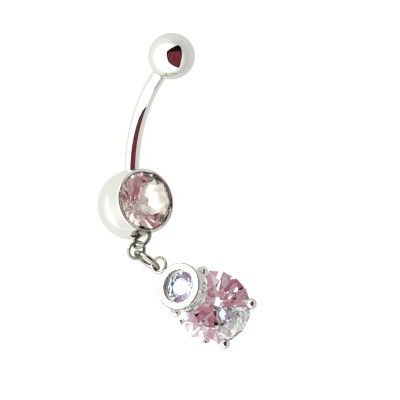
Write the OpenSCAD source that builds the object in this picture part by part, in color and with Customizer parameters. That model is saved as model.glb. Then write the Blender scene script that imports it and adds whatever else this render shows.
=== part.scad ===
// Navel ring: a curved barbell with a gem ball at one end and a screw-on ball at the other,
// two jump rings and a drop with two set stones, lying at rest on a table. Millimetres, +Z up.

/* [Barbell] */
// Diameter of the curved bar
bar_d = 1.6; // [1.2:0.1:2]
// Radius of the bend along the bar's middle
bend_r = 11.2; // [9:0.1:14]
// Angle that the bend turns through
bend_turn = 58; // [45:1:66]
// From the gem ball's centre to the start of the bend
bend_start = 3.3; // [2.5:0.1:5]
// Straight length between the bend and the top ball
top_straight = 1.2; // [0.6:0.1:3]
// Diameter of the threaded end, over the thread's roots
stud_d = 1.4; // [0.9:0.05:1.5]
// Length of the threaded end
stud_length = 3; // [2:0.1:3.4]
// Diameter of the ball that screws on
top_ball_d = 5; // [4.4:0.1:6]

/* [Gem ball] */
// Diameter of the ball that holds the gem
gem_ball_d = 7.5; // [7:0.1:9]
// Diameter of the gem
gem_d = 6.4; // [5:0.1:6.6]
// From the ball's centre to the gem's girdle
gem_height = 2.5; // [2.2:0.05:3]
// Thickness of the collar's lip round the gem
lip_width = 0.36; // [0.25:0.01:0.5]
// How much wider the collar is at its foot than at its lip, on each side
collar_flare = 0.12; // [0:0.01:0.3]
// Height of the collar below the gem's girdle
collar_height = 1.4; // [1:0.1:2]

/* [Loop on the gem ball] */
// Outer diameter of the loop
loop_d = 2.5; // [2:0.1:3]
// Wire of the loop
loop_wire = 0.4; // [0.3:0.02:0.5]
// How deep the loop is soldered into the ball
loop_sink = 0.25; // [0.15:0.05:0.4]

/* [Jump rings] */
// Outer diameter of the first jump ring
ring_1_d = 2.2; // [2.1:0.02:3]
// Wire of the first jump ring
ring_1_wire = 0.36; // [0.3:0.02:0.4]
// Outer diameter of the second jump ring
ring_2_d = 3.3; // [3:0.1:4]
// Wire of the second jump ring
ring_2_wire = 0.5; // [0.4:0.02:0.6]

/* [Drop] */
// Diameter of the drop's large stone
drop_stone_d = 8; // [7:0.1:9]
// Diameter of the wire of the four claws
claw_wire = 0.8; // [0.6:0.05:1]
// Diameter of the bead that ends each claw
claw_bead = 1.2; // [1.1:0.05:1.4]
// Angle between each claw and the drop's length
claw_spread = 40; // [38:1:50]
// How far the basket is turned round from the drop's length
claw_turn = 4; // [0:1:6]
// Radius of the basket's base ring
base_r = 1.9; // [1.6:0.1:2.4]
// From the large stone's girdle down to the base ring
base_depth = 3.2; // [3:0.1:4]
// Wire of the basket's base and gallery rings
basket_wire = 0.7; // [0.5:0.05:0.9]
// Outer diameter of the small stone's tube
tube_d = 5; // [4.6:0.1:5.6]
// Length of the small stone's tube
tube_length = 2; // [1.8:0.1:2.6]
// Wall of the small stone's tube in front of the stone
tube_wall = 0.62; // [0.5:0.02:0.7]
// Diameter of the small stone
tube_stone_d = 3.5; // [3.2:0.1:3.6]
// From the tube's mouth down to the small stone's table
tube_stone_sink = 0.5; // [0.2:0.05:0.6]
// How far the tube reaches up the large stone's crown from its edge
tube_reach = 3.5; // [3:0.1:3.8]
// From the tube's back up to the middle of the eyelet
eyelet_rise = 0.9; // [0.6:0.05:1.4]
// Outer diameter of the drop's eyelet
eyelet_d = 1.96; // [1.9:0.02:2.4]
// Wire of the eyelet
eyelet_wire = 0.32; // [0.24:0.02:0.36]
// Length of the neck between the eyelet and the tube
neck_length = 0.5; // [0.1:0.05:0.8]

/* [Stones] */
// Width of a stone's table, as a share of its diameter
table_share = 0.55; // [0.45:0.01:0.62]
// Height of a stone's crown, as a share of its diameter
crown_share = 0.14; // [0.12:0.01:0.16]
// Depth of a stone's pavilion, as a share of its diameter
pavilion_share = 0.42; // [0.38:0.01:0.43]
// Thickness of a stone's girdle, as a share of its diameter
girdle_share = 0.03; // [0.03:0.005:0.05]
// Where the lower girdle facets end near the culet, as a share of the stone's radius
lower_share = 0.22; // [0.15:0.01:0.3]

/* [Clearances] */
// Gap between a stone and its seat
seat_gap = 0.04; // [0.03:0.01:0.06]
// Gap between linked wires
link_gap = 0.04; // [0.03:0.01:0.06]
// Gap between the small stone or its tube and the large stone
culet_gap = 0.08; // [0.05:0.01:0.15]
// Gap round the threaded end, and under the ball that screws on
thread_gap = 0.06; // [0.04:0.01:0.08]

/* [How it lies] */
// Turn of the barbell about the line between its balls, from its bend hanging straight down
barbell_lean = 50; // [44:1:60]
// Angle from the gem's axis down to the loop
loop_angle = 62; // [58:1:66]
// How far the loop sits to one side of the barbell's middle plane
loop_aside = 2.5; // [0:1:8]
// Turn of the loop about its own stem
loop_turn = -27; // [-40:1:-10]
// Tip of the loop off its stem
loop_tip = 20; // [0:1:30]
// Where the first jump ring hooks, round from the loop's outermost point
hook_angle = 68; // [50:1:80]
// Swing of the first jump ring about the loop's wire
hook_swing = 16; // [0:1:30]
// Compass direction of the second jump ring, seen from the first
ring_2_azimuth = -45; // [-50:1:-25]
// Slope of the second jump ring, down from level
ring_2_fall = 35; // [25:1:50]
// Turn of the second jump ring about its own length, from flat
ring_2_roll = -44; // [-90:1:90]
// Where the second jump ring hooks, round from the eyelet's outermost point
eyelet_hook = 41; // [0:1:50]
// Compass direction of the drop, from its stone to its eyelet
drop_azimuth = 156; // [150:1:170]
// Roll of the drop about its own length
drop_roll = 14; // [0:1:20]

/* [Hidden] */
$fn = 96;

bar_r = bar_d / 2;
stud_r = stud_d / 2;
bore_r = stud_r + thread_gap;
top_ball_r = top_ball_d / 2;
gem_ball_r = gem_ball_d / 2;
gem_r = gem_d / 2;
loop_wire_r = loop_wire / 2;
loop_r = loop_d / 2 - loop_wire_r;
ring_1_wire_r = ring_1_wire / 2;
ring_1_r = ring_1_d / 2 - ring_1_wire_r;
ring_2_wire_r = ring_2_wire / 2;
ring_2_r = ring_2_d / 2 - ring_2_wire_r;
eyelet_wire_r = eyelet_wire / 2;
eyelet_r = eyelet_d / 2 - eyelet_wire_r;
drop_stone_r = drop_stone_d / 2;
claw_wire_r = claw_wire / 2;
claw_bead_r = claw_bead / 2;
basket_wire_r = basket_wire / 2;
tube_r = tube_d / 2;
tube_stone_r = tube_stone_d / 2;

// Chamfer on the tube's mouth
tube_chamfer = 0.12;
// Height of the lip that holds the small stone, and of the funnel in front of it
tube_lip = 0.08;
// How far a seat's edge laps over the rim of its stone
seat_lap = 0.06;
// The straight stretches run this far into the bend, and are this much thinner at the radius
bend_lap = 0.15;
bend_step = 0.005;
// Chamfer on the threaded end
thread_chamfer = 0.2;
// A cut runs past what it cuts by this much
past = 1;

// Vectors and turns, as columns of a matrix
function unit(v) = v / norm(v);
function compass(azimuth, fall) =
    [cos(azimuth) * cos(fall), sin(azimuth) * cos(fall), -sin(fall)];
function turn_x(a) = [[1, 0, 0], [0, cos(a), -sin(a)], [0, sin(a), cos(a)]];
function turn_y(a) = [[cos(a), 0, sin(a)], [0, 1, 0], [-sin(a), 0, cos(a)]];
function turn_z(a) = [[cos(a), -sin(a), 0], [sin(a), cos(a), 0], [0, 0, 1]];
function basis(x, z) =
    let(zz = unit(z), yy = unit(cross(zz, x)), xx = cross(yy, zz))
    [for (i = [0:2]) [xx[i], yy[i], zz[i]]];
function pose(turn, at) = [
    [turn[0][0], turn[0][1], turn[0][2], at[0]],
    [turn[1][0], turn[1][1], turn[1][2], at[1]],
    [turn[2][0], turn[2][1], turn[2][2], at[2]],
    [0, 0, 0, 1]
];

// The barbell's own frame: gem ball at the origin, bar leaving along +Y, gem facing +Z
bend_end = [0, bend_start + bend_r * sin(bend_turn), bend_r * (1 - cos(bend_turn))];
stud_dir = [0, cos(bend_turn), sin(bend_turn)];
bar_end = bend_end + top_straight * stud_dir;
// The ball sits where its own surface is as wide as the bar
top_ball_at = bar_end + (thread_gap + sqrt(pow(top_ball_r, 2) - pow(bar_r, 2))) * stud_dir;
bore_depth = stud_length + 2 * thread_gap;

// Both balls touch the table
chord_angle = atan2(top_ball_at[2], top_ball_at[1]);
barbell_pitch = asin((top_ball_r - gem_ball_r) / norm(top_ball_at));
barbell_turn = turn_x(barbell_pitch) * turn_y(barbell_lean) * turn_x(-chord_angle);
gem_ball_centre = [0, 0, gem_ball_r];
top_ball_centre = gem_ball_centre + barbell_turn * top_ball_at;

// The loop stands on the gem ball along its stem
loop_stem = [
    -sin(loop_aside),
    -cos(loop_aside) * sin(loop_angle),
    cos(loop_aside) * cos(loop_angle)
];
loop_across = unit(cross(loop_stem, cross([1, 0, 0], loop_stem)));
loop_axis = cos(loop_tip) * (cos(loop_turn) * loop_across + sin(loop_turn) * cross(loop_stem, loop_across))
    + sin(loop_tip) * loop_stem;
loop_at = (gem_ball_r + loop_d / 2 - loop_sink) * loop_stem;
loop_out = unit(cross(loop_axis, cross(loop_stem, loop_axis)));
hook_dir = cos(hook_angle) * loop_out + sin(hook_angle) * cross(loop_axis, loop_out);
hook_at = loop_at + loop_r * hook_dir;
hook_pull = cos(hook_swing) * loop_axis + sin(hook_swing) * hook_dir;

// Each ring hangs on the wire before it, a gap short of touching
function hang(from, pull, ring_r, wires_r) = from + (ring_r - wires_r - link_gap) * pull;
pull_1 = barbell_turn * hook_pull;
ring_1_centre = hang(gem_ball_centre + barbell_turn * hook_at, pull_1, ring_1_r, loop_wire_r + ring_1_wire_r);
pull_2 = compass(ring_2_azimuth, ring_2_fall);
ring_1_axis = unit(cross(pull_1, pull_2));
ring_2_centre = hang(ring_1_centre + ring_1_r * pull_2, pull_2, ring_2_r, ring_1_wire_r + ring_2_wire_r);
ring_2_level = unit(cross([0, 0, 1], pull_2));
ring_2_axis = cos(ring_2_roll) * cross(pull_2, ring_2_level) + sin(ring_2_roll) * ring_2_level;
eyelet_wire_at = ring_2_centre + (ring_2_r - ring_2_wire_r - eyelet_wire_r - link_gap) * pull_2;

// A stone's own frame: girdle in the XY plane, table up
function stone_crown(d) = crown_share * d;
function stone_pavilion(d) = pavilion_share * d;
function stone_girdle(d) = girdle_share * d / 2;
function crown_slope(d) = atan2(stone_crown(d), (1 - table_share) * d / 2);
function stone_depth(d) = stone_crown(d) + 2 * stone_girdle(d) + stone_pavilion(d);
function pavilion_slope(d) = atan2(stone_pavilion(d), d / 2);

// The drop's own frame: large stone at the origin, table up, eyelet along +X.
// The tube stands off the slope of the large stone's crown by what its own stone needs.
tube_slope = crown_slope(drop_stone_d);
tube_axis = [sin(tube_slope), 0, cos(tube_slope)];
tube_out = [cos(tube_slope), 0, -sin(tube_slope)];
tube_lift = max(0, tube_stone_sink + stone_depth(tube_stone_d) - tube_length) + culet_gap;
tube_back = [drop_stone_r, 0, stone_girdle(drop_stone_d)] + tube_lift * tube_axis
    + (tube_r - tube_reach) * tube_out;
tube_stone_at = tube_back
    + (tube_length - tube_stone_sink - stone_crown(tube_stone_d) - stone_girdle(tube_stone_d)) * tube_axis;
eyelet_at = tube_back + eyelet_rise * tube_axis
    + (tube_r + neck_length + eyelet_d / 2) * tube_out;
eyelet_hook_at = eyelet_at
    + eyelet_r * (cos(eyelet_hook) * tube_out + sin(eyelet_hook) * cross(tube_axis, tube_out));
claw_foot_r = base_r;
claw_tip_r = drop_stone_r + seat_lap;
claw_tip_z = stone_girdle(drop_stone_d) + claw_bead_r / 3;
claw_angles = [for (a = [claw_spread, 180 - claw_spread, 180 + claw_spread, 360 - claw_spread]) a + claw_turn];
function claw_r(z) = claw_foot_r + (claw_tip_r - claw_foot_r) * (z + base_depth) / (claw_tip_z + base_depth);
gallery_z = -0.45 * base_depth;

// The drop tips about its eyelet until its base ring touches the table
function drop_turn(pitch) = turn_z(drop_azimuth) * turn_y(-pitch) * turn_x(drop_roll);
function drop_centre(pitch) = eyelet_wire_at - drop_turn(pitch) * eyelet_hook_at;
function base_low(pitch) =
    let(turn = drop_turn(pitch), level = turn[2][2])
    (drop_centre(pitch) + turn * [0, 0, -base_depth])[2]
    - base_r * sqrt(1 - level * level) - basket_wire_r;
function touching(low, high, steps) =
    let(middle = (low + high) / 2)
    steps == 0 ? middle
    : base_low(middle) > 0 ? touching(middle, high, steps - 1)
    : touching(low, middle, steps - 1);
drop_pitch = touching(-20, 50, 40);
drop_at = drop_centre(drop_pitch);

// The origin is under the middle of the box round the whole
claw_tips = [for (a = claw_angles)
    drop_at + drop_turn(drop_pitch) * [claw_tip_r * cos(a), claw_tip_r * sin(a), claw_tip_z]];
extremes = concat(
    [[gem_ball_centre, gem_ball_r], [top_ball_centre, top_ball_r]],
    [for (tip = claw_tips) [tip, claw_bead_r]]
);
function low_side(i) = min([for (e = extremes) e[0][i] - e[1]]);
function high_side(i) = max([for (e = extremes) e[0][i] + e[1]]);
centring = [-(low_side(0) + high_side(0)) / 2, -(low_side(1) + high_side(1)) / 2, 0];

module at_barbell() {
    translate(centring) multmatrix(pose(barbell_turn, gem_ball_centre)) children();
}

module at_stud() {
    at_barbell() multmatrix(pose(basis([1, 0, 0], stud_dir), bar_end)) children();
}

module at_drop() {
    translate(centring) multmatrix(pose(drop_turn(drop_pitch), drop_at)) children();
}

module at_tube() {
    multmatrix(pose(basis(tube_out, tube_axis), tube_back)) children();
}

module ring(middle_r, wire_r) {
    rotate_extrude() translate([middle_r, 0]) circle(r = wire_r);
}

// A round wire between two points
module rod(from, to, r) {
    side = abs(to[2] - from[2]) > 0.9 * norm(to - from) ? [1, 0, 0] : [0, 0, 1];
    multmatrix(pose(basis(side, to - from), from)) cylinder(r = r, h = norm(to - from));
}

// Round brilliant: table, 8 stars, 8 kites, 16 upper and 16 lower girdle facets, 8 mains
module brilliant(d) {
    r = d / 2;
    girdle = stone_girdle(d);
    table_r = table_share * r;
    star_r = (table_r + r) / 2;
    star_z = girdle + (r - star_r * cos(22.5)) * tan(crown_slope(d));
    lower_r = lower_share * r;
    lower_z = -girdle - (r - lower_r * cos(22.5)) * tan(pavilion_slope(d));
    function row(n, first, row_r, z) =
        [for (i = [0:n - 1]) let(a = first + 360 / n * i) [row_r * cos(a), row_r * sin(a), z]];
    function table(i) = i % 8;
    function star(i) = 8 + (i + 8) % 8;
    function upper(i) = 16 + i % 16;
    function under(i) = 32 + i % 16;
    function lower(i) = 48 + (i + 8) % 8;
    culet = 56;
    points = concat(
        row(8, 0, table_r, girdle + stone_crown(d)),
        row(8, 22.5, star_r, star_z),
        row(16, 0, r, girdle),
        row(16, 0, r, -girdle),
        row(8, 22.5, lower_r, lower_z),
        [[0, 0, -girdle - stone_pavilion(d)]]
    );
    faces = concat(
        [[for (i = [7:-1:0]) table(i)]],
        [for (i = [0:7]) [table(i), table(i + 1), star(i)]],
        [for (i = [0:7]) [table(i), star(i), upper(2 * i), star(i - 1)]],
        [for (i = [0:7]) [star(i), upper(2 * i + 1), upper(2 * i)]],
        [for (i = [0:7]) [star(i), upper(2 * i + 2), upper(2 * i + 1)]],
        [for (i = [0:15]) [upper(i), upper(i + 1), under(i + 1), under(i)]],
        [for (i = [0:7]) [lower(i), under(2 * i), under(2 * i + 1)]],
        [for (i = [0:7]) [lower(i), under(2 * i + 1), under(2 * i + 2)]],
        [for (i = [0:7]) [culet, lower(i - 1), under(2 * i), lower(i)]]
    );
    polyhedron(points, faces);
}

// The space that a stone takes with its gap, open above within the given mouth
module stone_seat(d, mouth_r, height) {
    r = d / 2 + seat_gap;
    girdle = stone_girdle(d);
    rotate_extrude() polygon([
        [0, -girdle - stone_pavilion(d) - 1.5 * seat_gap],
        [r, -girdle - 0.5 * seat_gap],
        [r, girdle],
        [mouth_r, girdle + (r - mouth_r) * tan(crown_slope(d)) + 0.5 * seat_gap],
        [mouth_r, height],
        [0, height]
    ]);
}

// The space of a stone whose crown stays covered by its claws
module crown_seat(d) {
    r = d / 2 + seat_gap;
    girdle = stone_girdle(d);
    rise = stone_crown(d) + seat_gap;
    rotate_extrude() polygon([
        [0, -girdle - stone_pavilion(d) - 1.5 * seat_gap],
        [r, -girdle - 0.5 * seat_gap],
        [r, girdle],
        [r - rise / tan(crown_slope(d)), girdle + rise],
        [0, girdle + rise]
    ]);
}

module collar() {
    foot_r = gem_r + lip_width + collar_flare - seat_lap;
    lip_r = gem_r - seat_lap + lip_width / 2;
    lip_z = gem_height + stone_girdle(gem_d) + seat_lap;
    rotate_extrude() polygon(concat(
        [[0, gem_height - collar_height], [foot_r, gem_height - collar_height]],
        [for (a = [0:15:180]) [lip_r + lip_width / 2 * cos(a), lip_z + lip_width / 2 * sin(a)]],
        [[0, lip_z]]
    ));
}

// One turned profile from the end of the bend out to the tip of the threaded end
module stud() {
    rotate_extrude() polygon([
        [0, -top_straight - bend_lap],
        [bar_r - bend_step, -top_straight - bend_lap],
        [bar_r - bend_step, 0],
        [stud_r, 0],
        [stud_r, stud_length - thread_chamfer],
        [stud_r - thread_chamfer, stud_length],
        [0, stud_length]
    ]);
}

module bar() {
    rotate([-90, 0, 0]) cylinder(r = bar_r - bend_step, h = bend_start + bend_lap);
    translate([0, bend_start, bend_r]) rotate([0, 90, 0])
        rotate_extrude(angle = bend_turn) translate([bend_r, 0]) circle(r = bar_r);
    multmatrix(pose(basis([1, 0, 0], stud_dir), bar_end)) stud();
}

module curved_post() {
    color("silver") at_barbell() difference() {
        union() {
            sphere(r = gem_ball_r);
            collar();
            bar();
            multmatrix(pose(basis(loop_out, loop_axis), loop_at)) ring(loop_r, loop_wire_r);
        }
        translate([0, 0, gem_height])
            stone_seat(gem_d, gem_r - seat_lap, gem_ball_r + past);
    }
}

module top_ball() {
    centre = thread_gap + sqrt(pow(top_ball_r, 2) - pow(bar_r, 2));
    mouth = centre - sqrt(pow(top_ball_r, 2) - pow(bore_r, 2));
    color("gainsboro") at_stud() difference() {
        translate([0, 0, centre]) sphere(r = top_ball_r);
        translate([0, 0, mouth - past]) cylinder(r = bore_r, h = bore_depth + past);
        translate([0, 0, mouth + bore_depth]) cylinder(r1 = bore_r, r2 = 0, h = bore_r / 2);
    }
}

module ball_gem() {
    color("rosybrown") at_barbell() translate([0, 0, gem_height]) brilliant(gem_d);
}

module jump_ring_1() {
    color("lightgray") translate(centring)
        multmatrix(pose(basis(pull_2, ring_1_axis), ring_1_centre)) ring(ring_1_r, ring_1_wire_r);
}

module jump_ring_2() {
    color("darkgray") translate(centring)
        multmatrix(pose(basis(pull_2, ring_2_axis), ring_2_centre)) ring(ring_2_r, ring_2_wire_r);
}

module claws() {
    for (a = claw_angles) {
        foot = [claw_foot_r * cos(a), claw_foot_r * sin(a), -base_depth];
        tip = [claw_tip_r * cos(a), claw_tip_r * sin(a), claw_tip_z];
        rod(foot, tip, claw_wire_r);
        translate(tip) sphere(r = claw_bead_r);
    }
}

module basket() {
    translate([0, 0, -base_depth]) ring(base_r, basket_wire_r);
    translate([0, 0, gallery_z]) ring(claw_r(gallery_z), basket_wire_r * 0.8);
}

// The claws on the small stone's side are soldered to its tube
module tube_claws() {
    for (a = claw_angles) if (cos(a) > 0) {
        tip = [claw_tip_r * cos(a), claw_tip_r * sin(a), claw_tip_z];
        away = tip - tube_back;
        flat = unit(away - (away * tube_axis) * tube_axis);
        rod(tip, tube_back + (tube_r - tube_wall / 2) * flat + tube_wall * tube_axis, claw_wire_r);
    }
}

module tube() {
    at_tube() {
        rotate_extrude() polygon([
            [0, 0],
            [tube_r, 0],
            [tube_r, tube_length - tube_chamfer],
            [tube_r - tube_chamfer, tube_length],
            [0, tube_length]
        ]);
        translate([0, 0, eyelet_rise])
            rod([tube_r - tube_wall / 2, 0, 0], [tube_r + neck_length + eyelet_wire_r, 0, 0], eyelet_wire_r * 1.4);
    }
    multmatrix(pose(basis(tube_out, tube_axis), eyelet_at)) ring(eyelet_r, eyelet_wire_r);
}

// The bore in front of the small stone, with the lip that holds the stone below it
module tube_mouth() {
    lip_z = stone_girdle(tube_stone_d) + (seat_lap + seat_gap) * tan(crown_slope(tube_stone_d)) + seat_gap / 2 + tube_lip;
    rotate_extrude() polygon([
        [0, lip_z - tube_lip / 2],
        [tube_stone_r - seat_lap, lip_z],
        [tube_r - tube_wall, lip_z + tube_lip],
        [tube_r - tube_wall, tube_length],
        [0, tube_length]
    ]);
}

module drop_setting() {
    color("silver") at_drop() difference() {
        union() {
            basket();
            claws();
            tube_claws();
            tube();
        }
        crown_seat(drop_stone_d);
        multmatrix(pose(basis(tube_out, tube_axis), tube_stone_at)) {
            stone_seat(tube_stone_d, tube_stone_r - seat_lap, tube_length);
            tube_mouth();
            translate([0, 0, -tube_length - past]) cylinder(r = 0.6 * tube_stone_r, h = tube_length + past);
        }
    }
}

module tube_stone() {
    color("lavender") at_drop() multmatrix(pose(basis(tube_out, tube_axis), tube_stone_at)) brilliant(tube_stone_d);
}

module drop_stone() {
    color("plum") at_drop() brilliant(drop_stone_d);
}

curved_post();
top_ball();
ball_gem();
jump_ring_1();
jump_ring_2();
drop_setting();
tube_stone();
drop_stone();
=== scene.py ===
# Navel ring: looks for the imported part, in metres, in the part's own frame
import math

import bmesh
import bpy
from mathutils import Matrix, Vector


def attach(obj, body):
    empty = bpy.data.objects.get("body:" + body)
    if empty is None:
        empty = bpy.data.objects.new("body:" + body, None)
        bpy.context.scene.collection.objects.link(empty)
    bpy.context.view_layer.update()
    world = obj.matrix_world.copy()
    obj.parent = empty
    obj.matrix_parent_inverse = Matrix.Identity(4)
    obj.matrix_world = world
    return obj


MM = 0.001

# Photograph's view of the part
RIGHT = Vector((0.9030, 0.2233, -0.3670)).normalized()
TOWARD = Vector((0.2904, 0.3122, 0.9045)).normalized()
UP = TOWARD.cross(RIGHT).normalized()
IMAGE = 400
GEM_BALL_PIXEL = (132.1, 204.9)
PIXELS_PER_MM = 9.36
CAMERA_AWAY = 1.6
SENSOR = 36.0

# Places on the barbell
GEM_BALL = Vector((-6.098, -3.785, 3.75)) * MM
GEM_BALL_R = 3.75 * MM
TOP_BALL = Vector((-6.098, 13.089, 2.5)) * MM
GEM_AT = Vector((-4.432, -2.4525, 5.0532)) * MM
GEM_FACING = Vector((0.666472, 0.532988, 0.521286)).normalized()
BAR_END = Vector((-6.9847, 10.9049, 1.91584)) * MM
STUD_DIR = Vector((0.365062, 0.899372, 0.240539)).normalized()
LOOP_AT = Vector((-3.164, -6.123, 6.663)) * MM
LOOP_FOOT = Vector((-3.782, -5.631, 6.05)) * MM

# Places of the links and of the drop's small parts
RING_1_AT = Vector((-3.420, -7.360, 6.878)) * MM
RING_2_AT = Vector((-2.348, -8.432, 5.817)) * MM
RING_2_AXIS = Vector((-0.199, -0.783, 0.589)).normalized()
RING_R = 1.4 * MM
RING_WIRE_R = 0.25 * MM
EYELET_AT = Vector((-1.049, -8.658, 5.348)) * MM
SMALL_STONE_AT = Vector((2.547, -9.689, 6.708)) * MM
TUBE_FACING = Vector((-0.2353, 0.3296, 0.9143)).normalized()

SQUARE = ((-1, -1), (1, -1), (1, 1), (-1, 1))

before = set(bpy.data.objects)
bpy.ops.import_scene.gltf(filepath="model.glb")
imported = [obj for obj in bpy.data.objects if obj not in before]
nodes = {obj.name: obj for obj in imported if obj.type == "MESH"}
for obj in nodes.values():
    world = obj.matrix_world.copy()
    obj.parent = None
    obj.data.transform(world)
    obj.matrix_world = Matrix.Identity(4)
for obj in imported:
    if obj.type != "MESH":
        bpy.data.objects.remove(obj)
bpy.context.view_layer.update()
scene = bpy.context.scene


def link(obj):
    scene.collection.objects.link(obj)
    return obj


# Two directions at right angles to an axis
def across(axis):
    side = axis.cross(Vector((0, 0, 1)))
    if side.length < 0.1:
        side = axis.cross(Vector((1, 0, 0)))
    side.normalize()
    return side, axis.cross(side)


# Nodes of the materials
def add(tree, kind, **values):
    node = tree.nodes.new(kind)
    for key, value in values.items():
        if key in node.inputs:
            node.inputs[key].default_value = value
        else:
            setattr(node, key, value)
    return node


# A value is another node's output, a colour of three numbers, or one number
def feed(tree, socket, value):
    if isinstance(value, bpy.types.NodeSocket):
        tree.links.new(value, socket)
    elif isinstance(value, tuple):
        socket.default_value = (*value, 1)
    else:
        socket.default_value = value


def mix(tree, factor, first, second, colour=True):
    node = add(tree, "ShaderNodeMix", data_type="RGBA" if colour else "FLOAT")
    place = 6 if colour else 2
    feed(tree, node.inputs[0], factor)
    feed(tree, node.inputs[place], first)
    feed(tree, node.inputs[place + 1], second)
    return node.outputs[2 if colour else 0]


def spread(tree, value, start, end, low=0.0, high=1.0, curve="LINEAR"):
    node = add(tree, "ShaderNodeMapRange", interpolation_type=curve)
    limits = {"Value": value, "From Min": start, "From Max": end, "To Min": low, "To Max": high}
    for key, limit in limits.items():
        feed(tree, node.inputs[key], limit)
    return node.outputs["Result"]


def noise(tree, point, scale, detail, roughness=0.5):
    node = add(tree, "ShaderNodeTexNoise", Scale=scale, Detail=detail, Roughness=roughness)
    tree.links.new(point, node.inputs["Vector"])
    return node.outputs["Fac"]


def measure(tree, operation, point, other):
    node = add(tree, "ShaderNodeVectorMath", operation=operation)
    tree.links.new(point, node.inputs[0])
    node.inputs[1].default_value = other
    return node.outputs["Value"]


def object_point(tree):
    return add(tree, "ShaderNodeTexCoord").outputs["Object"]


def new_material(name):
    mat = bpy.data.materials.new(name)
    mat.use_nodes = True
    tree = mat.node_tree
    return mat, tree, tree.nodes["Principled BSDF"]


# Steel's wear: how much darker its colour gets, where its noise starts and ends to change the roughness,
# the shares of the roughness there, and the fine grain's scale and height
WEAR_DARKEST = 0.97
WEAR_START = 0.3
WEAR_END = 0.75
WEAR_GLOSSIEST = 0.6
WEAR_ROUGHEST = 1.6
FINE_GRAIN = 6
FINE_HEIGHT = 0.00002

# A place's edge fades from just inside its radius to just outside it
PLACE_INSIDE = 0.97
PLACE_OUTSIDE = 1.03


# Polished steel with faint wear. Each place is a centre, a radius, the colour and the roughness there
def steel(name, colour, edge, roughness, grain=900.0, metallic=1.0, places=()):
    mat, tree, shader = new_material(name)
    shader.inputs["Metallic"].default_value = metallic
    shader.inputs["Specular Tint"].default_value = (*edge, 1)
    point = object_point(tree)
    wear = noise(tree, point, grain, detail=4.0, roughness=0.6)
    tone = mix(tree, wear, tuple(c * WEAR_DARKEST for c in colour), colour)
    gloss = spread(tree, wear, WEAR_START, WEAR_END, low=roughness * WEAR_GLOSSIEST,
                   high=roughness * WEAR_ROUGHEST)
    for centre, reach, shade, matt in places:
        away = measure(tree, "DISTANCE", point, centre)
        near = spread(tree, away, reach * PLACE_INSIDE, reach * PLACE_OUTSIDE, low=1.0, high=0.0)
        tone = mix(tree, near, tone, shade)
        gloss = mix(tree, near, gloss, matt, colour=False)
    feed(tree, shader.inputs["Base Color"], tone)
    feed(tree, shader.inputs["Roughness"], gloss)
    bump = add(tree, "ShaderNodeBump", Strength=0.01, Distance=FINE_HEIGHT)
    feed(tree, bump.inputs["Height"], noise(tree, point, grain * FINE_GRAIN, detail=2.0))
    feed(tree, shader.inputs["Normal"], bump.outputs["Normal"])
    return mat


CLOUD_SCALE = 500.0
CLOUD_DARKEST = 0.985


# Clear stone with faintly uneven colour
def crystal(name, colour, ior):
    mat, tree, shader = new_material(name)
    shader.inputs["IOR"].default_value = ior
    shader.inputs["Transmission Weight"].default_value = 1.0
    shader.inputs["Roughness"].default_value = 0.0
    clouds = noise(tree, object_point(tree), CLOUD_SCALE, detail=2.0)
    tone = mix(tree, clouds, tuple(c * CLOUD_DARKEST for c in colour), colour)
    feed(tree, shader.inputs["Base Color"], tone)
    return mat


def on_node(node, point):
    return nodes[node].matrix_world.inverted() @ point


# Darker steel on the eyelet: painted shade that stands in for its dark reflections
SHADED_OLIVE = (0.40, 0.40, 0.33)
# Still darker steel on the loop: painted shade that stands in for its dark reflections
SHADED_DARK_OLIVE = (0.27, 0.265, 0.205)
SATIN = (0.60, 0.61, 0.54)
LOOP_PLACE = (on_node("curved_post", LOOP_AT), 1.35 * MM, SHADED_DARK_OLIVE, 0.05)
EYELET_PLACE = (on_node("drop_setting", EYELET_AT), 1.1 * MM, SHADED_OLIVE, 0.05)
BORE_PLACE = (on_node("drop_setting", SMALL_STONE_AT), 2.12 * MM, SATIN, 0.5)

post_steel = steel("post_steel", (0.70, 0.705, 0.66), (0.9, 0.9, 0.86), 0.05, places=(LOOP_PLACE,))
ball_steel = steel("ball_steel", (0.71, 0.715, 0.67), (0.9, 0.9, 0.86), 0.04)
# A darker copy of the steel for the rings, with a dark edge: painted shade that stands in for their dark
# reflections
ring_steel = steel("ring_steel", (0.42, 0.42, 0.35), (0.2, 0.2, 0.15), 0.07)
setting_steel = steel("setting_steel", (0.72, 0.72, 0.68), (0.8, 0.8, 0.75), 0.05,
                      places=(EYELET_PLACE, BORE_PLACE))
# Near-black solder: a painted dark reflection on the loop's foot
solder_dark_reflection = steel("solder_dark_reflection", (0.05, 0.046, 0.03), (0.3, 0.3, 0.22), 0.14, grain=2500.0)
# Near-black steel: painted shade for the gem's groove line, painted shadow for the bar's shoulder line, and
# the link seam's dark cut
joint_and_shadow_steel = steel("joint_and_shadow_steel", (0.10, 0.09, 0.06), (0.5, 0.5, 0.4), 0.3)
# Near-black steel for the tube's edge line: a painted dark reflection
dark_reflection_steel = steel("dark_reflection_steel", (0.16, 0.16, 0.13), (0.4, 0.4, 0.36), 0.1)
foil = steel("gem_foil", (0.88, 0.93, 0.99), (1, 1, 1), 0.03, metallic=0.65)

LOOKS = {
    "curved_post": post_steel,
    "top_ball": ball_steel,
    "jump_ring_1": ring_steel,
    "jump_ring_2": ring_steel,
    "drop_setting": setting_steel,
    "ball_gem": crystal("rhinestone", (0.79, 0.745, 0.68), 1.53),
    "tube_stone": crystal("small_crystal", (0.66, 0.80, 1.0), 1.8),
    "drop_stone": crystal("zirconia", (0.955, 0.97, 1.0), 1.85),
}
for node, look in LOOKS.items():
    mesh = nodes[node].data
    mesh.materials.clear()
    mesh.materials.append(look)
    for poly in mesh.polygons:
        poly.material_index = 0


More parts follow.
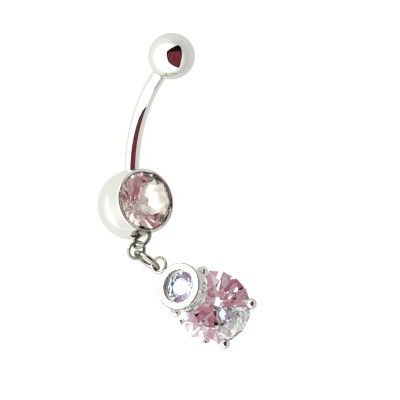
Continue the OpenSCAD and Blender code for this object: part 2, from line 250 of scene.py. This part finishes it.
# Turns a built mesh into a piece of the barbell's body
def piece(name, build, mat, smooth=True):
    if smooth:
        bmesh.ops.recalc_face_normals(build, faces=build.faces)
    mesh = bpy.data.meshes.new(name)
    build.to_mesh(mesh)
    build.free()
    for poly in mesh.polygons:
        poly.use_smooth = smooth
    mesh.materials.append(mat)
    obj = link(bpy.data.objects.new(name, mesh))
    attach(obj, "barbell")


# Faces between each row of points and the next
def bridge(build, rows, closed=True):
    for a, b in zip(rows[:-1], rows[1:]):
        for k in range(len(a) if closed else len(a) - 1):
            m = (k + 1) % len(a)
            build.faces.new((a[k], b[k], b[m], a[m]))


# Foil behind the ball's gem: a copy of its faces below the girdle, moved out by a hundredth of a millimetre
FOIL_TOP = -0.12 * MM
FOIL_GAP = 0.012 * MM
OUTWARD_SHARE = 0.4


def foil_behind(node, centre, facing):
    source = nodes[node].data
    matrix = nodes[node].matrix_world
    build = bmesh.new()
    copies = {}
    for poly in source.polygons:
        if (matrix @ poly.center - centre).dot(facing) > FOIL_TOP:
            continue
        corners = []
        for index in poly.vertices:
            if index not in copies:
                point = matrix @ source.vertices[index].co
                out = point - centre
                out = (out - out.dot(facing) * facing).normalized() * OUTWARD_SHARE - facing
                copies[index] = build.verts.new(point + out.normalized() * FOIL_GAP)
            corners.append(copies[index])
        build.faces.new(corners)
    piece("gem_foil", build, foil, smooth=False)


foil_behind("ball_gem", GEM_AT, GEM_FACING)


# A closed profile carried once round an axis
def sweep(name, centre, axis, radius, profile, steps, mat):
    u, v = across(axis)
    build = bmesh.new()
    rows = []
    for i in range(steps):
        a = 2 * math.pi * i / steps
        spoke = u * math.cos(a) + v * math.sin(a)
        rows.append([build.verts.new(centre + spoke * (radius + r) + axis * z) for r, z in profile])
    bridge(build, rows + rows[:1])
    piece(name, build, mat)


WIRE_SIDES = 8


def wire_ring(name, centre, axis, radius, wire_r, steps, mat):
    angles = [2 * math.pi * i / WIRE_SIDES for i in range(WIRE_SIDES)]
    profile = [(wire_r * math.cos(a), wire_r * math.sin(a)) for a in angles]
    sweep(name, centre, axis, radius, profile, steps, mat)


# Dark line in the groove between the gem and its lip: painted shade in the gap between them
GROOVE_FORWARD = 0.155 * MM
wire_ring("gem_groove", GEM_AT + GEM_FACING * GROOVE_FORWARD, GEM_FACING, radius=3.115 * MM,
          wire_r=0.085 * MM, steps=128, mat=joint_and_shadow_steel)

# Dark line along the outer edge of the small stone's tube: a painted dark reflection
TUBE_MOUTH_FORWARD = 0.925 * MM
wire_ring("tube_edge", SMALL_STONE_AT + TUBE_FACING * TUBE_MOUTH_FORWARD, TUBE_FACING,
          radius=2.485 * MM, wire_r=0.05 * MM, steps=128, mat=dark_reflection_steel)

# Shadow line at the bar's shoulder, where the top ball meets it
SHOULDER_BACK = 0.02 * MM
wire_ring("bar_shoulder", BAR_END - STUD_DIR * SHOULDER_BACK, STUD_DIR, radius=0.79 * MM,
          wire_r=0.07 * MM, steps=64, mat=joint_and_shadow_steel)

# Cut in the second link where its wire's ends meet, on the link's side a little away from the first link
SEAM_PROUD = 0.004 * MM
SEAM_DEEP = -0.02 * MM
SEAM_HALF = 0.012 * MM
SEAM = ((SEAM_PROUD, -SEAM_HALF), (SEAM_PROUD, SEAM_HALF), (SEAM_DEEP, SEAM_HALF), (SEAM_DEEP, -SEAM_HALF))
SEAM_SIDEWAYS = 0.8
SEAM_ONWARD = 0.4
pull = (RING_2_AT - RING_1_AT).normalized()
seam_side = RING_2_AXIS.cross(pull) * SEAM_SIDEWAYS + pull * SEAM_ONWARD
seam_spoke = (seam_side - seam_side.dot(RING_2_AXIS) * RING_2_AXIS).normalized()
sweep("link_seam_2", RING_2_AT + seam_spoke * RING_R, RING_2_AXIS.cross(seam_spoke), RING_WIRE_R,
      SEAM, steps=32, mat=joint_and_shadow_steel)


MOUND_RINGS = 9
MOUND_SPOKES = 36
MOUND_EDGE_SINK = 0.004 * MM


# Solder that holds the loop on the ball: a mound on the ball's surface, wavy in outline and lumpy in height.
# Its near-black colour is a painted dark reflection
def solder_mound(foot, ball, ball_r, reach, height):
    axis = (foot - ball).normalized()
    u, v = across(axis)
    build = bmesh.new()
    rows = []
    for i in range(1, MOUND_RINGS + 1):
        t = i / MOUND_RINGS
        row = []
        for k in range(MOUND_SPOKES):
            a = 2 * math.pi * k / MOUND_SPOKES
            wave = 1 + 0.16 * math.sin(3 * a + 0.7) + 0.09 * math.sin(5 * a + 2.1)
            lump = 1 + 0.2 * math.sin(4 * a + 5 * t)
            rise = height * (0.5 + 0.5 * math.cos(math.pi * t)) * lump - MOUND_EDGE_SINK * t
            spoke = u * math.cos(a) + v * math.sin(a)
            way = (axis * ball_r + spoke * reach * wave * t).normalized()
            row.append(build.verts.new(ball + way * (ball_r + rise)))
        rows.append(row)
    peak = build.verts.new(ball + axis * (ball_r + height))
    for k in range(MOUND_SPOKES):
        build.faces.new((peak, rows[0][k], rows[0][(k + 1) % MOUND_SPOKES]))
    bridge(build, rows)
    piece("loop_solder", build, solder_dark_reflection)


solder_mound(LOOP_FOOT, GEM_BALL, GEM_BALL_R, reach=1.1 * MM, height=0.16 * MM)

# Thread's ridge: steps along the axis as shares of the pitch, and whether the point is on the crest
THREAD_PROFILE = ((-0.4, False), (-0.1, True), (0.1, True), (0.4, False))
THREAD_START = 0.35 * MM
THREAD_SINK = 0.02 * MM
STEPS_PER_TURN = 40


# Thread on the bar's end: a ridge that winds round it and fades over half a turn at both ends
def thread(start, axis, length, root_r, height, pitch):
    u, v = across(axis)
    count = int(length / pitch * STEPS_PER_TURN)
    build = bmesh.new()
    rows = []
    for i in range(count + 1):
        a = 2 * math.pi * i / STEPS_PER_TURN
        rise = height * min(1, i / STEPS_PER_TURN * 2, (count - i) / STEPS_PER_TURN * 2)
        z = pitch * i / STEPS_PER_TURN
        spoke = u * math.cos(a) + v * math.sin(a)
        row = []
        for dz, crest in THREAD_PROFILE:
            radius = root_r + (rise if crest else -THREAD_SINK)
            row.append(build.verts.new(start + axis * (z + dz * pitch) + spoke * radius))
        rows.append(row)
    bridge(build, rows, closed=False)
    piece("post_thread", build, post_steel)


thread(BAR_END + STUD_DIR * THREAD_START, STUD_DIR, length=2.3 * MM, root_r=0.7 * MM,
       height=0.042 * MM, pitch=0.3 * MM)


# Stage: table, dark opening and lamp. A hidden sheet shows only in mirrors and through the stones
def stage_sheet(name, corners, mat, hidden=True):
    mesh = bpy.data.meshes.new(name)
    mesh.from_pydata([tuple(corner) for corner in corners], [], [tuple(range(len(corners)))])
    mesh.update()
    mesh.materials.append(mat)
    sheet = link(bpy.data.objects.new(name, mesh))
    if hidden:
        sheet.visible_camera = False
        sheet.visible_diffuse = False
        sheet.visible_shadow = False


# Is one where the ray has gone through a stone, and nought elsewhere
def through_stone(tree, path):
    node = add(tree, "ShaderNodeMath", operation="GREATER_THAN")
    tree.links.new(path.outputs["Transmission Depth"], node.inputs[0])
    node.inputs[1].default_value = 0.5
    return node.outputs[0]


# Ranges of the noise over which the spots and the sharper, finer streaks grow
SPOTS_START = 0.4
SPOTS_END = 0.75
STREAKS_START = 0.48
STREAKS_END = 0.56
STREAKS_FINER = 2.6


# Glowing sheet with spots from dark to light, and other colours where it is seen through a stone
def glow_material(name, dark, light, through, through_streak, scale):
    mat = bpy.data.materials.new(name)
    mat.use_nodes = True
    tree = mat.node_tree
    tree.nodes.clear()
    point = object_point(tree)
    spots = spread(tree, noise(tree, point, scale, detail=1.0), SPOTS_START, SPOTS_END)
    fine = noise(tree, point, scale * STREAKS_FINER, detail=2.0)
    streaks = spread(tree, fine, STREAKS_START, STREAKS_END)
    plain = mix(tree, spots, dark, light)
    seen = mix(tree, streaks, through, through_streak)
    inside = through_stone(tree, add(tree, "ShaderNodeLightPath"))
    glow = add(tree, "ShaderNodeEmission")
    feed(tree, glow.inputs["Color"], mix(tree, inside, plain, seen))
    out = add(tree, "ShaderNodeOutputMaterial")
    tree.links.new(glow.outputs[0], out.inputs["Surface"])
    return mat


# Table: dimmer on the photograph's right, even through a stone, and plain white straight to the camera
# Its glow is painted light, and the dimmer right side is painted shade
TABLE_HALF = 0.6
TABLE_LEFT = -0.012
TABLE_RIGHT = 0.006
TABLE_GLOW_LEFT = 1.04
TABLE_GLOW_RIGHT = 0.66
TABLE_GLOW_THROUGH = 1.15
TABLE_GLOW_SEEN = 0.98


def table_material():
    mat, tree, shader = new_material("table_top")
    shader.inputs["Base Color"].default_value = (0.0037, 0.0037, 0.0037, 1)
    shader.inputs["Roughness"].default_value = 0.9
    shader.inputs["Specular IOR Level"].default_value = 0.0
    shader.inputs["Emission Color"].default_value = (1, 1, 1, 1)
    side = measure(tree, "DOT_PRODUCT", object_point(tree), RIGHT)
    glow = spread(tree, side, TABLE_LEFT, TABLE_RIGHT, low=TABLE_GLOW_LEFT, high=TABLE_GLOW_RIGHT)
    path = add(tree, "ShaderNodeLightPath")
    glow = mix(tree, through_stone(tree, path), glow, TABLE_GLOW_THROUGH, colour=False)
    glow = mix(tree, path.outputs["Is Camera Ray"], glow, TABLE_GLOW_SEEN, colour=False)
    feed(tree, shader.inputs["Emission Strength"], glow)
    return mat


stage_sheet("table", [(x * TABLE_HALF, y * TABLE_HALF, 0) for x, y in SQUARE], table_material(), hidden=False)

# Corners of the opening as the top ball mirrors them: across and up, as shares of its radius
OPENING = ((-0.214, 0.197), (0.013, 0.359), (0.338, 0.479), (0.419, 0.282), (0.444, 0.026), (0.410, -0.188),
           (0.303, -0.504), (0.013, -0.385), (-0.141, -0.256), (-0.214, -0.017))
OPENING_LIT = ((-0.145, 0.165), (0.098, 0.190), (0.370, 0.210), (0.395, 0.026), (0.365, -0.209),
               (0.285, -0.440), (0.030, -0.352), (-0.118, -0.232), (-0.170, -0.017))
OPENING_AWAY = 1.2
OPENING_LIT_AWAY = OPENING_AWAY * 0.99


# Direction from the top ball to what it mirrors to the camera at a place on it
def mirrored(x, y):
    normal = RIGHT * x + UP * y + TOWARD * math.sqrt(1 - x * x - y * y)
    return 2 * normal.dot(TOWARD) * normal - TOWARD


OPENING_MIDDLE = mirrored(0.12, -0.02)


def opening_corners(outline, away):
    rays = [mirrored(x, y) for x, y in outline]
    return [TOP_BALL + ray * away / ray.dot(OPENING_MIDDLE) for ray in rays]


stage_sheet("opening", opening_corners(OPENING, OPENING_AWAY),
            glow_material("opening_dark", dark=(0.004, 0.004, 0.003), light=(0.012, 0.008, 0.006),
                          through=(0.54, 0.40, 0.445), through_streak=(0.70, 0.61, 0.63), scale=5))
stage_sheet("opening_lit", opening_corners(OPENING_LIT, OPENING_LIT_AWAY),
            glow_material("opening_maroon", dark=(0.16, 0.018, 0.032), light=(0.36, 0.075, 0.09),
                          through=(0.42, 0.145, 0.19), through_streak=(0.57, 0.42, 0.46), scale=7))

# Lamp that the small stone's table mirrors to the camera
LAMP_WAY = (RIGHT * -0.818 + UP * 0.311 + TOWARD * 0.485).normalized()
LAMP_AWAY = 0.5
LAMP_HALF = 0.07
lamp_u, lamp_v = across(LAMP_WAY)
stage_sheet("lamp", [SMALL_STONE_AT + LAMP_WAY * LAMP_AWAY + (lamp_u * x + lamp_v * y) * LAMP_HALF
                     for x, y in SQUARE],
            glow_material("lamp_white", dark=(9, 9, 9), light=(10, 10, 10), through=(6, 6, 6),
                          through_streak=(6, 6, 6), scale=5))

# Sky: brighter overhead, and brighter near the table on the photograph's left
SKY_LEFT = -0.7
SKY_RIGHT = 0.3
SKY_LIGHT_LEFT = 1.2
SKY_LIGHT_RIGHT = 0.88
SKY_OVERHEAD = 0.7
SKY_LIGHT_OVERHEAD = 1.95
world = bpy.data.worlds.new("studio")
scene.world = world
world.use_nodes = True
sky = world.node_tree
sky_way = add(sky, "ShaderNodeTexCoord").outputs["Generated"]
sky_split = add(sky, "ShaderNodeSeparateXYZ")
sky.links.new(sky_way, sky_split.inputs[0])
sky_side = measure(sky, "DOT_PRODUCT", sky_way, RIGHT)
sky_low = spread(sky, sky_side, SKY_LEFT, SKY_RIGHT, low=SKY_LIGHT_LEFT, high=SKY_LIGHT_RIGHT)
sky_light = spread(sky, sky_split.outputs["Z"], 0.0, SKY_OVERHEAD, low=sky_low, high=SKY_LIGHT_OVERHEAD,
                   curve="SMOOTHSTEP")

# Matt surfaces get more light from it than the metal mirrors
MATT_LIGHT = 20.0
sky_path = add(sky, "ShaderNodeLightPath")
sky_matt = spread(sky, sky_path.outputs["Diffuse Depth"], 0.0, 1.0, low=1.0, high=MATT_LIGHT)
sky_strength = add(sky, "ShaderNodeMath", operation="MULTIPLY")
sky.links.new(sky_light, sky_strength.inputs[0])
sky.links.new(sky_matt, sky_strength.inputs[1])
background = sky.nodes["Background"]
background.inputs["Color"].default_value = (1, 1, 1, 1)
sky.links.new(sky_strength.outputs[0], background.inputs["Strength"])

# Camera
off_centre = RIGHT * (IMAGE / 2 - GEM_BALL_PIXEL[0]) - UP * (IMAGE / 2 - GEM_BALL_PIXEL[1])
aim = GEM_BALL + off_centre * MM / PIXELS_PER_MM
camera_data = bpy.data.cameras.new("camera")
camera_data.sensor_width = SENSOR
camera_data.lens = SENSOR * PIXELS_PER_MM / MM * CAMERA_AWAY / IMAGE
camera_data.clip_start = 0.01
camera_data.clip_end = 10
camera = link(bpy.data.objects.new("camera", camera_data))
turn = Matrix((RIGHT, UP, TOWARD)).transposed().to_4x4()
camera.matrix_world = Matrix.Translation(aim + TOWARD * CAMERA_AWAY) @ turn
scene.camera = camera
scene.view_settings.view_transform = "Standard"
